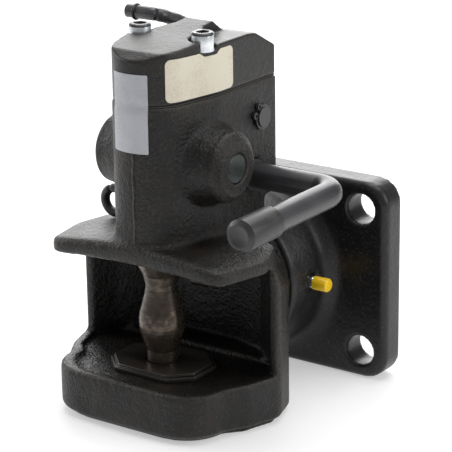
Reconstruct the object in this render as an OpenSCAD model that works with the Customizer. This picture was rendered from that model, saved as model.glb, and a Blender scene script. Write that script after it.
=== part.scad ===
// Automatic drawbar coupling with a vertical crowned pin, on a swivelling flange bearing.
// Axes: +Z up, +Y towards the vehicle, +X to the hand lever side.
// Origin: swivel axis where it meets the flange's rear mounting face.

/* [Flange] */
// Width of the mounting flange
flange_w = 200; // [196:1:230]
// Height of the mounting flange
flange_h = 138; // [134:1:160]
// Thickness of the flange plate
flange_t = 20; // [14:1:24]
// Corner radius of the flange plate
flange_corner = 17; // [8:1:20]
// Bolt hole spacing across
bolt_dx = 160; // [150:1:164]
// Bolt hole spacing up and down
bolt_dz = 100; // [96:1:104]
// Bolt hole diameter
bolt_d = 21; // [13:0.5:23]
// Radius where the bearing neck meets the plate
neck_foot_r = 69; // [60:1:69]
// Radius of the bearing neck at its front end
neck_front_r = 51.5; // [48:0.5:54]
// Length of the bearing neck in front of the plate
neck_len = 38; // [32:1:40]

/* [Tail shaft] */
// Diameter of the swivelling shaft
shaft_d = 55; // [48:1:60]
// Wall of the two bearing bushes
bush_wall = 4.5; // [3:0.5:6]
// Length of each bearing bush
bush_len = 22; // [14:1:24]
// Thread diameter at the rear end
thread_d = 45; // [38:1:46]
// How far the threaded end stands behind the flange
thread_len = 50; // [46:1:60]

/* [Jaw] */
// Distance of the pin axis in front of the mounting face
pin_y = 134; // [132:1:140]
// Half the width of the jaw at its side walls
jaw_half_w = 78; // [74:1:84]
// Height of the mouth roof above the swivel axis
roof_z = 35; // [30:1:36]
// Depth of the lower jaw's top below the swivel axis
lower_z = 36; // [34:1:40]
// Thickness of the lower jaw
lower_t = 33; // [30:1:33]
// Thickness of the upper lip at its sides
lip_t = 9; // [6:1:10]
// Rise of the upper lip at its middle
lip_rise = 7; // [3:1:9]
// Depth of the pocket round the wear plate
pocket_t = 3; // [2:0.5:6]

/* [Tower] */
// Half the width of the tower
tower_half_w = 31.5; // [30:0.5:34]
// Radius of the tower's rounded nose
nose_r = 26.5; // [25:0.5:28]
// Height of the joint between tower and cover
cover_z = 141; // [138:1:150]
// Wall thickness of the tower
tower_wall = 6; // [4:0.5:6.5]
// Distance of the tower's rear wall from the mounting face
tower_rear = 46; // [44:1:48]
// Height of the two side bosses above the swivel axis
boss_z = 98; // [96:1:104]
// Distance of the boss faces from the middle
boss_x = 50; // [46:1:54]
// Diameter of the bore plugs in the bosses
plug_d = 20; // [14:1:22]

/* [Coupling pin] */
// Largest diameter of the crowned barrel
barrel_d = 30; // [26:0.5:31]
// Diameter of the guided stem
stem_d = 32; // [31:0.5:34]
// Diameter of the neck and of the lower end
neck_d = 20.6; // [18:0.2:22]
// How far the pin lifts
pin_lift = 62; // [60:1:68]

/* [Hand lever] */
// Diameter of the lever bar
bar_d = 17; // [14:0.5:18]
// Height of the lever axis above the swivel axis
lever_z = 79.5; // [78:0.5:84]
// Distance of the lever axis from the mounting face
lever_y = 72; // [70:1:76]
// Distance of the lever's long leg from the middle
lever_x = 95; // [90:1:110]
// Reach of the lever's end in front of the mounting face
lever_reach = 183; // [170:1:220]
// Radius of the lever's bend
lever_bend_r = 15; // [12:1:20]
// Outer diameter of the rubber cap
cap_d = 20.5; // [19:0.5:24]
// Length of the rubber cap
cap_len = 34; // [24:1:44]
// Angle of the lift arm below level when the pin is down
arm_rest = 32; // [28:1:34]
// Length of the lift arm
arm_len = 52; // [50:1:53]

/* [Cover] */
// Height of the cover's front edge above the joint
cover_front_h = 33; // [28:1:40]
// Height of the ridge between the screws
cover_ridge = 8; // [4:1:9]
// Wall thickness of the cover
cover_wall = 5; // [3:0.5:6]
// Distance of the cover screws from the middle
screw_x = 24.3; // [22:0.1:25]
// Diameter of the screw heads
screw_head_d = 14.2; // [12:0.2:15]
// Thickness of the gasket
gasket_t = 0.8; // [0.5:0.1:1.5]

/* [Latch] */
// Diameter of the latch shaft
latch_d = 13; // [10:0.5:14]
// Height of the latch shaft above the swivel axis
latch_z = 117; // [116:1:119]
// Distance of the latch shaft from the mounting face
latch_y = 64.5; // [63:0.5:66]
// Diameter of the remote lever's rod
rod_d = 9; // [7:0.5:10]

/* [Fits] */
// Radial running clearance of shafts and pins
run_gap = 0.05; // [0.02:0.01:0.1]
// Gap between pieces that do not touch
gap = 0.3; // [0.2:0.1:0.4]

/* [Hidden] */
$fn = 96;
tiny = 0.01;
jaw_front = pin_y + 47;
lip_front = pin_y + 32;
jaw_bottom = -lower_z - lower_t;
floor_z = -lower_z - pocket_t;
side_front = pin_y - 18;
mouth_back = 78;
block_rear = 75;
nipple_y = flange_t + neck_len / 2;
seal_t = 0.9;
collar_y = flange_t + neck_len + gap + seal_t;
collar_r = neck_front_r - 1;
nose_y = pin_y + 2.5;
shoulder_y = pin_y - 26;
boss_y = pin_y - 16.5;
boss_r = 23;
boss_face_r = 16.5;
bush_r = shaft_d / 2 + bush_wall;
cavity_floor = 58;
pocket_floor = 46;
guide_wall = 5;
guide_r = stem_d / 2 + run_gap + guide_wall;
stem_room = 15;
stem_top = cover_z + cover_front_h - cover_wall - stem_room - pin_lift;
stem_bottom = roof_z - 2;
pin_end_z = -52;
carrier_z = 64;
carrier_t = 4;
lug_t = 10;
cheek_x = 18;
cheek_t = 4;
arm_hub_r = 13;
arm_tip_r = 5;
lever_bush_wall = 2;
trigger_y = 91;
trigger_z = 41;
trigger_w = 12;
trigger_pin_d = 6;
hook_d = 6.4;
hook_r = 8.5;
nut_t = 24;
head_z = cover_z + 29.5;
washer_t = 8;

// ---- shared shapes ----

// Turns a shape built along +Z so that it runs along -Y, starting at the mounting face.
module towards_jaw() { rotate([90, 0, 0]) children(); }

// Cylinder along X from x0 to x1 at a distance y in front of the mounting face.
module x_cyl(r, x0, x1, y, z) {
    translate([x0, -y, z]) rotate([0, 90, 0]) cylinder(r = r, h = x1 - x0);
}

// Cone along X.
module x_cone(r0, r1, x0, x1, y, z) {
    translate([x0, -y, z]) rotate([0, 90, 0]) cylinder(r1 = r0, r2 = r1, h = x1 - x0);
}

// Ring along Z.
module tube(r_out, r_in, z0, z1) {
    translate([0, 0, z0]) difference() {
        cylinder(r = r_out, h = z1 - z0);
        translate([0, 0, -1]) cylinder(r = r_in, h = z1 - z0 + 2);
    }
}

// Rectangle with round corners, centred.
module round_rect(w, h, r) {
    square([w - 2 * r, h], center = true);
    square([w, h - 2 * r], center = true);
    for (sx = [-1, 1], sy = [-1, 1])
        translate([sx * (w / 2 - r), sy * (h / 2 - r)]) circle(r = r);
}

// Mirrors a list of plan points (given for the +X side, front to rear) into a closed outline.
function both_sides(pts) =
    concat(pts, [for (i = [len(pts) - 1:-1:0]) [-pts[i][0], pts[i][1]]]);

// Plan of the tower, its walls moved in by an inset.
module tower_plan(inset) {
    r1 = nose_r - inset;
    r2 = tower_half_w - inset;
    lean = asin((r2 - r1) / (nose_y - shoulder_y));
    translate([0, -nose_y]) circle(r = r1);
    polygon(both_sides([[r1 * cos(lean), -nose_y - r1 * sin(lean)],
                        [r2 * cos(lean), -shoulder_y - r2 * sin(lean)]]));
    translate([0, -shoulder_y]) circle(r = r2);
    translate([-r2, -shoulder_y]) square([2 * r2, shoulder_y - tower_rear - inset]);
}

// External circlip along X: a ring with a gap and two eyes.
module circlip(r_in, x, y, z, turn) {
    ring_w = 2.6;
    translate([x, -y, z]) rotate([turn, 0, 0]) rotate([0, 90, 0]) difference() {
        union() {
            cylinder(r = r_in + ring_w, h = 1.4);
            for (s = [-1, 1]) translate([-r_in - 2.2, s * 3.4, 0]) cylinder(r = 2.4, h = 1.4);
        }
        translate([0, 0, -1]) cylinder(r = r_in, h = 4);
        translate([-r_in - 6, -1.2, -1]) cube([7, 2.4, 4]);
        for (s = [-1, 1]) translate([-r_in - 2.2, s * 3.4, -1]) cylinder(r = 0.9, h = 4);
    }
}

// Round bar swept along a list of points; each ring stands square to the path.
function unit(v) = v / norm(v);
function path_dir(p, i) = unit(p[min(i + 1, len(p) - 1)] - p[max(i - 1, 0)]);
function path_ring(c, d, r, n) =
    let (side = unit(cross(d, abs(d[0]) < 0.9 ? [1, 0, 0] : [0, 0, 1])), up = cross(side, d))
    [for (k = [0:n - 1]) c + r * (cos(360 * k / n) * side + sin(360 * k / n) * up)];
module sweep_bar(path, r, n = 12) {
    last = len(path) - 1;
    points = [for (i = [0:last]) each path_ring(path[i], path_dir(path, i), r, n)];
    walls = [for (i = [0:last - 1], k = [0:n - 1])
        [i * n + k, i * n + (k + 1) % n, (i + 1) * n + (k + 1) % n, (i + 1) * n + k]];
    ends = [[for (k = [n - 1:-1:0]) k], [for (k = [0:n - 1]) last * n + k]];
    polyhedron(points = points, faces = concat(walls, ends), convexity = 8);
}

// ---- flange bearing ----

module flange_bearing() {
    color("#26272a") difference() {
        union() {
            towards_jaw() linear_extrude(height = flange_t - 3)
                round_rect(flange_w, flange_h, flange_corner);
            towards_jaw() translate([0, 0, flange_t - 3 - tiny]) linear_extrude(height = 1.5)
                round_rect(flange_w - 2, flange_h - 2, flange_corner - 1);
            towards_jaw() translate([0, 0, flange_t - 1.5 - tiny]) linear_extrude(height = 1.5 + tiny)
                round_rect(flange_w - 5, flange_h - 5, flange_corner - 2.5);
            towards_jaw() rotate_extrude() neck_outline();
        }
        towards_jaw() translate([0, 0, -1]) cylinder(r = bush_r, h = flange_t + neck_len + 2);
        for (sx = [-1, 1], sz = [-1, 1])
            towards_jaw() translate([sx * bolt_dx / 2, sz * bolt_dz / 2, -1])
                cylinder(r = bolt_d / 2, h = flange_t + 2);
        x_cyl(6.5, neck_front_r + 2.2, neck_foot_r + 2, nipple_y, 0);
        x_cyl(3 + run_gap, bush_r - 1, neck_foot_r, nipple_y, 0);
    }
}

// Half section of the neck: foot fillet on the plate, then a gentle cone.
module neck_outline() {
    foot = 13;
    waist = neck_front_r + 4.5;
    polygon(concat(
        [[bush_r - 0.5, 1], [neck_foot_r - 4, 1], [neck_foot_r, flange_t - tiny]],
        [for (a = [10:10:80]) [waist + (neck_foot_r - waist) * (1 - sin(a)), flange_t + foot * (1 - cos(a))]],
        [[waist, flange_t + foot], [neck_front_r, flange_t + neck_len - 1.5],
         [neck_front_r - 1.5, flange_t + neck_len], [bush_r - 0.5, flange_t + neck_len]]));
}

module front_swivel_bush() {
    color("#b08a4a") towards_jaw()
        tube(bush_r, shaft_d / 2 + run_gap, flange_t + neck_len - bush_len - 1, flange_t + neck_len - 1);
}

module rear_swivel_bush() {
    color("#b08a4a") towards_jaw() tube(bush_r, shaft_d / 2 + run_gap, 1, 1 + bush_len);
}

module grease_nipple() {
    color("#b9b9b5") union() {
        x_cyl(3, bush_r + 1, neck_front_r + 2.2, nipple_y, 0);
        x_cyl(4.2, neck_front_r + 2.2, neck_front_r + 5, nipple_y, 0);
        x_cyl(2.4, neck_front_r + 5, neck_front_r + 9, nipple_y, 0);
    }
}

module nipple_cap() {
    color("#f2c416") difference() {
        union() {
            x_cyl(4.6, neck_front_r + 5.2, neck_front_r + 15.4, nipple_y, 0);
            x_cone(4.6, 3.6, neck_front_r + 15.4 - tiny, neck_front_r + 16.4, nipple_y, 0);
        }
        x_cyl(2.4, neck_front_r + 4, neck_front_r + 9.3, nipple_y, 0);
    }
}

// ---- coupling body ----

// Outer plan of the lower jaw and its pocket, moved in by an inset.
module lower_plan(inset) {
    corner = 27;
    nose_w = 62 - inset;
    polygon(both_sides(concat(
        [for (a = [0:15:90]) [nose_w - corner + corner * sin(a), -jaw_front + inset + corner * (1 - cos(a))]],
        [[jaw_half_w - 7 - inset, -pin_y - 4], [jaw_half_w - inset, -side_front],
         [jaw_half_w - 6 - inset, -block_rear - 22]])));
}

// Plan of the upper lip.
module lip_plan() {
    corner = 12;
    nose_w = jaw_half_w - 9;
    polygon(both_sides(concat(
        [for (a = [0:15:75]) [nose_w - corner + corner * sin(a), -lip_front + corner * (1 - cos(a))]],
        [[jaw_half_w - 2, -pin_y + 6], [jaw_half_w - 2, -side_front - 8],
         [jaw_half_w - 8, -side_front + 8], [jaw_half_w - 14, -block_rear - 22]])));
}

// Plan of the mouth, open to the front and the sides ahead of the side walls.
module mouth_plan() {
    wall = 6;
    polygon(both_sides([[jaw_half_w + 20, -jaw_front - 20], [jaw_half_w + 20, -side_front],
                        [jaw_half_w - wall, -side_front], [jaw_half_w - 16, -side_front + 14],
                        [jaw_half_w - 33, -mouth_back - 8], [22, -mouth_back]]));
}

module upper_lip() {
    arch_r = 360;
    top = roof_z + lip_t + lip_rise;
    intersection() {
        translate([0, 0, roof_z]) linear_extrude(height = lip_t + lip_rise) lip_plan();
        translate([0, 10, top - arch_r]) towards_jaw() cylinder(r = arch_r, h = lip_front + 20, $fn = 360);
    }
}

// Thin upright slab across the block, between two heights.
module block_slab(half_w, front, low, high) {
    translate([-half_w, -front, low]) cube([2 * half_w, 4, high - low]);
}

// Block behind the mouth, narrowing to the round collar of the swivel joint.
module jaw_block() {
    top = roof_z + lip_t;
    hull() {
        for (c = [[0, 6, 20], [2.5, 4, 12], [8, 0, 5], [18, 0, 0]])
            block_slab(jaw_half_w - c[0], side_front, jaw_bottom + c[1], top - c[2]);
        for (c = [[8, 3, 30], [13, 3, 12], [26, 3, 3]])
            block_slab(jaw_half_w - c[0], block_rear + 20, jaw_bottom + c[1], top - c[2]);
        towards_jaw() translate([0, 0, block_rear - 5]) cylinder(r = collar_r, h = 5, $fn = 64);
    }
}

module boss(side) {
    mirror([side < 0 ? 1 : 0, 0, 0]) union() {
        x_cone(boss_r + 5, boss_r, tower_half_w - 8, boss_x - 8, boss_y, boss_z);
        x_cyl(boss_r, boss_x - 8 - tiny, boss_x - 4.5, boss_y, boss_z);
        x_cone(boss_r, boss_face_r + 1, boss_x - 4.5 - tiny, boss_x, boss_y, boss_z);
    }
}

module coupling_body() {
    color("#232427") difference() {
        union() {
            translate([0, 0, jaw_bottom + 4]) linear_extrude(height = lower_t - 4) lower_plan(0);
            translate([0, 0, jaw_bottom]) linear_extrude(height = 4 + tiny) lower_plan(4);
            upper_lip();
            jaw_block();
            tower_shell();
            for (side = [-1, 1]) boss(side);
            towards_jaw() translate([0, 0, collar_y]) cylinder(r = collar_r, h = block_rear - collar_y);
            towards_jaw() translate([0, 0, 1]) cylinder(r = shaft_d / 2, h = block_rear);
            towards_jaw() translate([0, 0, -thread_len]) cylinder(r = thread_d / 2, h = thread_len + 2);
            front_pad();
        }
        translate([0, 0, -lower_z]) linear_extrude(height = lower_z + roof_z) mouth_plan();
        mouth_arch();
        translate([0, 0, floor_z]) linear_extrude(height = pocket_t + tiny) lower_plan(7);
        tower_cavity();
        translate([0, -pin_y, roof_z - 1]) cylinder(r = guide_r, h = cavity_floor - roof_z + 2);
        translate([0, -pin_y, jaw_bottom - 1]) cylinder(r = lower_bush_r, h = lower_t + 2);
        x_cyl(plug_d / 2, boss_x - 14, boss_x + 1, boss_y, boss_z);
        x_cyl(plug_d / 2, -boss_x - 1, -boss_x + 14, boss_y, boss_z);
        x_cyl(lever_bush_r, -tower_half_w - 1, tower_half_w + 1, lever_y, lever_z);
        x_cyl(latch_d / 2 + run_gap, -tower_half_w - 1, tower_half_w + 1, latch_y, latch_z);
        x_cyl(hook_d / 2, -tower_half_w - 2, -tower_half_w + tower_wall + 1, hook_y, hook_z + hook_r);
        trigger_slot();
        for (side = [-1, 1]) screw_hole(side, lug_t + 1);
        translate([0, split_y, 0]) cylinder(r = 3.2, h = thread_d + 20, center = true);
    }
}
lower_bush_r = neck_d / 2 + run_gap + 4;
lever_bush_r = bar_d / 2 + run_gap + lever_bush_wall;
split_y = washer_t + gap + nut_t + 4;
hook_y = pin_y - 21;
hook_z = 59;

// Tower walls with two inner posts for the cover screws.
module tower_shell() {
    translate([0, 0, roof_z + 2]) linear_extrude(height = cover_z - roof_z - 2) intersection() {
        tower_plan(0);
        translate([-60, -pin_y - 60]) square([120, pin_y + 60 - collar_y - 1]);
    }
    translate([0, 0, collar_r + 12]) linear_extrude(height = cover_z - collar_r - 12) tower_plan(0);
}

// Slots in the pin guide that let the lift arm's cheeks swing past.
module arm_slots() {
    for (side = [-1, 1]) translate([side * (cheek_x + cheek_t / 2) - cheek_t / 2 - 1.1, -pin_y + 8.4, 50])
        cube([cheek_t + 2.2, 8, cavity_floor - 49]);
}

// The room for the mechanism: deep at the rear, with the pin guide's floor in front.
module tower_cavity() {
    arm_slots();
    difference() {
        union() {
            translate([0, 0, cavity_floor]) linear_extrude(height = cover_z - cavity_floor + 1)
                tower_plan(tower_wall);
            translate([-tower_half_w + tower_wall, -pin_y + 8, pocket_floor])
                cube([2 * (tower_half_w - tower_wall), pin_y - 8 - collar_y - 4, 30]);
        }
        for (side = [-1, 1]) translate([side * screw_x, -boss_y, cover_z - lug_t])
            cylinder(r = 6, h = lug_t + 4);
        translate([0, -pin_y, roof_z]) cylinder(r = guide_r + 1, h = cavity_floor - roof_z);
        translate([-40, -collar_y, roof_z]) cube([80, 30, collar_r + 17 - roof_z]);
    }
}

// Shallow arch that lifts the mouth roof towards its middle.
module mouth_arch() {
    arch_r = 700;
    intersection() {
        translate([0, 0, roof_z - 20]) linear_extrude(height = 24) mouth_plan();
        translate([0, 10, roof_z + 3 - arch_r]) towards_jaw() cylinder(r = arch_r, h = jaw_front + 40, $fn = 360);
    }
}

// Bare raised pad on the front of the lower jaw.
module front_pad() {
    translate([-20, -jaw_front - 1.2, jaw_bottom + 9]) cube([40, 3, 15]);
}

module trigger_slot() {
    translate([-trigger_w / 2 - gap, -trigger_y - 12, roof_z - 2])
        cube([trigger_w + 2 * gap, 24, pocket_floor - roof_z + 4]);
    x_cyl(trigger_pin_d / 2, -20, 20, trigger_y, trigger_z);
}

module screw_hole(side, depth) {
    translate([side * screw_x, -boss_y, cover_z - depth]) cylinder(r = 3.5, h = depth + 1);
}

module swivel_seal() {
    color("#2c2c2c") towards_jaw()
        tube(collar_r - 2, bush_r + 2, collar_y - seal_t, collar_y);
}

module thrust_washer() {
    color("#8d8f92") translate([0, washer_t + gap, 0]) towards_jaw()
        tube(bush_r + 8, thread_d / 2, 0, washer_t);
}

module castle_nut() {
    flats_r = thread_d * 0.78;
    slot_w = 7;
    color("#9a9c9e") translate([0, washer_t + gap + nut_t, 0]) towards_jaw() difference() {
        union() {
            translate([0, 0, 8]) cylinder(r = flats_r, h = nut_t - 8, $fn = 6);
            translate([0, 0, 0]) cylinder(r = flats_r - 6, h = nut_t - 1);
        }
        translate([0, 0, -1]) cylinder(r = thread_d / 2, h = nut_t + 2);
        for (a = [0:60:300]) rotate([0, 0, a + 30]) translate([0, -slot_w / 2, -1]) cube([flats_r + 5, slot_w, 7]);
    }
}

module split_pin() {
    color("#b7b7b2") translate([0, split_y, 0]) union() {
        translate([0, 0, -thread_d / 2 - 7]) cylinder(r = 3.1, h = thread_d + 11);
        translate([0, 0, thread_d / 2 + 6]) rotate([90, 0, 0]) rotate_extrude() translate([4, 0]) circle(r = 1.8);
    }
}

module pin_guide_bush() {
    color("#a98a4e") difference() {
        translate([0, -pin_y, 0]) tube(guide_r, stem_d / 2 + run_gap, roof_z + 3, cavity_floor);
        arm_slots();
    }
}

module lower_pin_bush() {
    color("#77787a") translate([0, -pin_y, 0])
        tube(lower_bush_r, neck_d / 2 + run_gap, jaw_bottom + 4, floor_z - gap);
}

module wear_plate() {
    half_w = 34;
    cut = 14;
    front = pin_y + 26;
    rear = pin_y - 26;
    rise = 3;
    plate = [[half_w - cut, -front], [half_w, -front + cut], [half_w, -rear - cut], [half_w - cut, -rear]];
    top = [for (p = plate) [p[0] - 1.8, p[1] + (p[1] < -pin_y ? 1.8 : -1.8)]];
    color("#2b2a28") difference() {
        union() {
            translate([0, 0, floor_z]) linear_extrude(height = rise) polygon(both_sides(plate));
            translate([0, 0, floor_z + rise - tiny]) linear_extrude(height = 1.8) polygon(both_sides(top));
        }
        translate([0, -pin_y, floor_z - 1]) cylinder(r = neck_d / 2 + 1.2, h = rise + 4);
    }
}

// ---- coupling pin ----

module coupling_pin() {
    rb = barrel_d / 2;
    rn = neck_d / 2;
    crown = [for (t = [0:0.125:1]) [rb - 1.6 * pow(abs(2 * t - 1), 2.4), -18 + 20 * t]];
    color("#6a625b") translate([0, -pin_y, 0]) rotate_extrude() polygon(concat(
        [[0, pin_end_z], [rn - 2, pin_end_z], [rn, pin_end_z + 2], [rn, -27]],
        crown,
        [[rn + 0.8, 11], [rn, 15], [rn, 18], [rn + 1.5, 24], [stem_d / 2, stem_bottom],
         [stem_d / 2, stem_top - 1], [stem_d / 2 - 1, stem_top], [0, stem_top]]));
}

// Plate round the stem with a shelf at the rear that the lift arm pushes up.
module pin_carrier() {
    color("#5f6163") difference() {
        union() {
            translate([0, -pin_y, carrier_z]) cylinder(r = stem_d / 2 + 3.5, h = carrier_t);
            translate([-cheek_x - cheek_t, -pin_y + 11, carrier_z])
                cube([2 * (cheek_x + cheek_t), 13, carrier_t]);
        }
        translate([0, -pin_y, carrier_z - 1]) cylinder(r = stem_d / 2, h = carrier_t + 2);
    }
}

module carrier_ring() {
    color("#6d6f71") translate([0, -pin_y, 0])
        tube(stem_d / 2 + 2.5, stem_d / 2, carrier_z + carrier_t, carrier_z + carrier_t + 3);
}

// ---- hand lever and lift arm ----

module hand_lever() {
    r = bar_d / 2;
    left_end = -tower_half_w - 5;
    color("#2b2d31") difference() {
        union() {
            x_cyl(r, left_end, lever_x - lever_bend_r, lever_y, lever_z);
            translate([lever_x - lever_bend_r, -lever_y - lever_bend_r, lever_z])
                rotate_extrude(angle = 90) translate([lever_bend_r, 0]) circle(r = r);
            translate([lever_x, -lever_y - lever_bend_r, lever_z]) rotate([90, 0, 0])
                cylinder(r = r, h = lever_reach - 3 - lever_y - lever_bend_r);
        }
        difference() {
            x_cyl(r + 1, left_end + 1.8, left_end + 3.4, lever_y, lever_z);
            x_cyl(r - 0.8, left_end, left_end + 4, lever_y, lever_z);
        }
        lift_turn() translate([0, 0, -20]) cylinder(r = 3, h = 40);
    }
}

module lever_cap() {
    r = cap_d / 2;
    start = lever_reach - cap_len;
    color("#2f3033") translate([lever_x, 0, lever_z]) towards_jaw() difference() {
        union() {
            translate([0, 0, start]) cylinder(r = r, h = cap_len - 2.5);
            translate([0, 0, lever_reach - 2.5 - tiny]) cylinder(r1 = r, r2 = r - 2.5, h = 2.5);
        }
        translate([0, 0, start - 1]) cylinder(r = bar_d / 2, h = cap_len - 2);
        translate([0, 0, lever_reach + 18]) sphere(r = 19.2);
    }
}

// Places a shape at the lever axis, level with the lift arm's rest angle.
module lift_turn() { translate([0, -lever_y, lever_z]) rotate([arm_rest, 0, 0]) children(); }

module lift_arm() {
    hub_half = cheek_x + cheek_t;
    color("#6b6d70") difference() {
        union() {
            x_cyl(arm_hub_r, -hub_half, hub_half, lever_y, lever_z);
            for (x0 = [-cheek_x - cheek_t, cheek_x]) lift_turn() translate([x0, 0, 0])
                rotate([0, 90, 0]) rotate([0, 0, 180]) linear_extrude(height = cheek_t) {
                    translate([0, arm_len]) circle(r = arm_tip_r);
                    polygon([[-10, 0], [10, 0], [arm_tip_r, arm_len], [-arm_tip_r, arm_len]]);
                }
        }
        x_cyl(bar_d / 2, -hub_half - 1, hub_half + 1, lever_y, lever_z);
        lift_turn() translate([0, 0, -arm_hub_r - 1]) cylinder(r = 3, h = 2 * arm_hub_r + 2);
    }
}

module arm_cross_pin() {
    color("#8a8c8e") lift_turn() translate([0, 0, -arm_hub_r]) cylinder(r = 3, h = 2 * arm_hub_r);
}

// Closing spring: a close helix round the lift arm's hub.
module torsion_spring() {
    turns = 6;
    steps = 18;
    wire = 1.5;
    coil_r = arm_hub_r + wire + 0.4;
    span = 24;
    path = [for (i = [0:turns * steps]) let (a = i * 360 / steps)
        [span * (i / (turns * steps) - 0.5), -lever_y + coil_r * cos(a), lever_z + coil_r * sin(a)]];
    color("#4e5052") sweep_bar(path, wire, 8);
}

module lever_bush(side) {
    color("#a98a4e") mirror([side < 0 ? 1 : 0, 0, 0]) difference() {
        x_cyl(lever_bush_r, tower_half_w - tower_wall, tower_half_w, lever_y, lever_z);
        x_cyl(bar_d / 2 + run_gap, tower_half_w - tower_wall - 1, tower_half_w + 1, lever_y, lever_z);
    }
}
module lever_bush_right() { lever_bush(1); }
module lever_bush_left() { lever_bush(-1); }

module lever_circlip() {
    color("#3b3c3e") circlip(bar_d / 2 - 0.8, -tower_half_w - 3.1, lever_y, lever_z, 0);
}

module bore_plug(side) {
    color("#4a5150") mirror([side < 0 ? 1 : 0, 0, 0]) union() {
        x_cyl(plug_d / 2, boss_x - 14, boss_x - 1.5, boss_y, boss_z);
        x_cone(plug_d / 2 - 0.2, plug_d / 2 - 1.2, boss_x - 1.5 - tiny, boss_x - 0.6, boss_y, boss_z);
    }
}
module bore_plug_right() { bore_plug(1); }
module bore_plug_left() { bore_plug(-1); }

// ---- latch and remote lever ----

module latch_shaft() {
    out = tower_half_w + 3.2;
    color("#303236") difference() {
        x_cyl(latch_d / 2, -tower_half_w - 12, out, latch_y, latch_z);
        difference() {
            x_cyl(latch_d, out - 2.4, out - 1, latch_y, latch_z);
            x_cyl(latch_d / 2 - 0.7, out - 3, out, latch_y, latch_z);
        }
        translate([0, -latch_y, latch_z]) cylinder(r = 2, h = 40, center = true);
    }
}

module latch_circlip() {
    color("#3b3c3e") circlip(latch_d / 2 - 0.7, tower_half_w + 0.8, latch_y, latch_z, 52);
}

// Pawl that blocks the lift arm's hub until the remote lever or the trigger frees it.
module lock_pawl() {
    nose = lever_z + arm_hub_r + 5;
    color("#6b6d70") difference() {
        union() {
            x_cyl(latch_d / 2 + 3, -7, 7, latch_y, latch_z);
            translate([-7, -latch_y - 7, nose]) cube([14, 9, latch_z - nose]);
            translate([-7, -latch_y - 13, nose]) cube([14, 8, 6]);
        }
        x_cyl(latch_d / 2, -8, 8, latch_y, latch_z);
        translate([0, -latch_y, latch_z]) cylinder(r = 2, h = 40);
    }
}

module pawl_cross_pin() {
    color("#8a8c8e") translate([0, -latch_y, latch_z - latch_d / 2 + 1])
        cylinder(r = 2, h = latch_d / 2 + latch_d / 2 + 2);
}

// Bent rod on the left end of the latch shaft: up behind the cover, forward, then out to the side.
rod_x = -tower_half_w - 7;
rod_top_z = 178.5;
rod_front_y = 76;
rod_end_x = -64;
function rod_arc(c, r, a0, a1, n) = [for (i = [0:n]) let (a = a0 + (a1 - a0) * i / n) c + r * [0, cos(a), sin(a)]];
rod_path = concat(
    [[rod_x, -latch_y + 6, latch_z + 4], [rod_x, -latch_y + 10, latch_z + 14], [rod_x, -44, 150]],
    rod_arc([rod_x, -53, 158], 10, -10, 55, 5),
    [[rod_x, -60, 172.2], [rod_x, -rod_front_y + 8, rod_top_z - 3.6]],
    [for (a = [0:15:90]) [rod_x - 8 * (1 - cos(a)), -rod_front_y + 4 - 6 * sin(a), rod_top_z - 2 + 2 * sin(a)]],
    [[rod_x - 14, -rod_front_y - 2, rod_top_z], [rod_end_x, -rod_front_y - 2, rod_top_z]]);

module remote_lever() {
    r = rod_d / 2;
    y = rod_front_y + 2;
    color("#2a2b2e") difference() {
        union() {
            x_cyl(latch_d / 2 + 4, rod_x - 5, rod_x + 5, latch_y, latch_z);
            sweep_bar(rod_path, r, 16);
        }
        x_cyl(latch_d / 2, rod_x - 6, rod_x + 6, latch_y, latch_z);
        difference() {
            x_cyl(r + 1, rod_end_x + 5.6, rod_end_x + 8, y, rod_top_z);
            x_cyl(r - 1, rod_end_x + 5, rod_end_x + 9, y, rod_top_z);
        }
    }
}

// Wire ring in the rod's groove.
module cable_clip() {
    color("#3a3b3c") translate([rod_end_x + 6.8, -rod_front_y - 2, rod_top_z]) rotate([0, 90, 0])
        rotate_extrude() translate([rod_d / 2 + 0.1, 0]) circle(r = 1.05);
}

module trigger_lever() {
    half = trigger_w / 2;
    hub = 5;
    color("#3c3d40") difference() {
        union() {
            x_cyl(hub, -half, half, trigger_y, trigger_z);
            translate([-half, -trigger_y - 3, 6]) cube([trigger_w, 7, trigger_z - 6]);
            x_cyl(3.5, -half, half, trigger_y - 0.5, 6);
        }
        x_cyl(trigger_pin_d / 2 + run_gap, -half - 1, half + 1, trigger_y, trigger_z);
    }
}

module trigger_pin() {
    color("#8a8c8e") x_cyl(trigger_pin_d / 2, -20, 20, trigger_y, trigger_z);
}

// Hook for the release cable on the left wall, open towards the wall.
module cable_hook() {
    loop_x = -tower_half_w - 20.5;
    bow = concat(
        [for (x = [-tower_half_w + 2, -tower_half_w - 8, loop_x + 6]) [x, -hook_y, hook_z + hook_r]],
        [for (a = [90:15:315]) [loop_x + hook_r * cos(a), -hook_y, hook_z + hook_r * sin(a)]]);
    color("#17181a") union() {
        x_cyl(hook_d / 2, -tower_half_w - 2, -tower_half_w + tower_wall, hook_y, hook_z + hook_r);
        sweep_bar(bow, hook_d / 2, 12);
    }
}

// ---- cover ----

// Side view of the cover's outside, as distance from the mounting face and height.
// The ridge is the extra height of the front plateau and of the ridge between the screws.
function cover_side(wall, ridge) = [
    [tower_rear - 20, cover_z - 5], [tower_rear - 20, cover_z + 20 - wall], [tower_rear, cover_z + 20 - wall],
    [tower_rear + 22, cover_z + cover_front_h - 1 - wall], [tower_rear + 30, cover_z + cover_front_h - wall],
    [tower_rear + 41, cover_z + cover_front_h + ridge - wall],
    [pin_y + 20, cover_z + cover_front_h + ridge / 16 - wall],
    [pin_y + 26.5, cover_z + cover_front_h - 3 - wall], [pin_y + 50, cover_z + cover_front_h - 9 - wall],
    [pin_y + 50, cover_z - 5]];

// Plan of the raised part: the whole front, narrowing to a ridge between the screws.
module ridge_plan() {
    polygon(both_sides([[40, -pin_y - 40], [40, -boss_y - 8], [20, -boss_y + 3], [11, -boss_y + 20],
                        [11, -tower_rear]]));
}

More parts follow.
